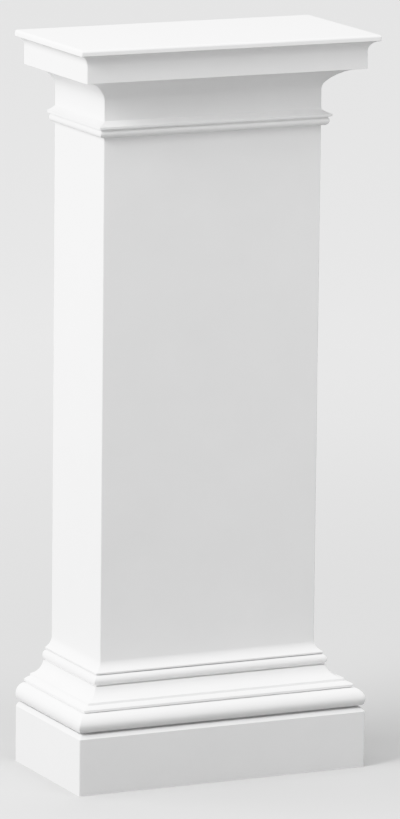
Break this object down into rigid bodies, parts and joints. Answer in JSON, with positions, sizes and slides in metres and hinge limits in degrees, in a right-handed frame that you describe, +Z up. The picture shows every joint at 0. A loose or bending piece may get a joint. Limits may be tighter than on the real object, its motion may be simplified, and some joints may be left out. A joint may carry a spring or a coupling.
{
  "type": "half column",
  "caption": "Rectangular half column for a wall, with moulded plinth and base, plain shaft, neck ring and coved cap, and a flat back.",
  "frame": {"origin": "on the floor, under the middle of the bounding box, halfway between the flat back and the cap's front edge", "axes": "+Z up, -Y out of the front face, +Y out of the flat back towards the wall, +X to the right as seen from the front"},
  "size_m": [0.37, 0.185, 0.848],
  "materials": {
    "primed_foam": "white factory primer on hard foam, satin to matt"
  },
  "bodies": {
    "root": {"half_column": "primed_foam"}
  },
  "joints": []
}
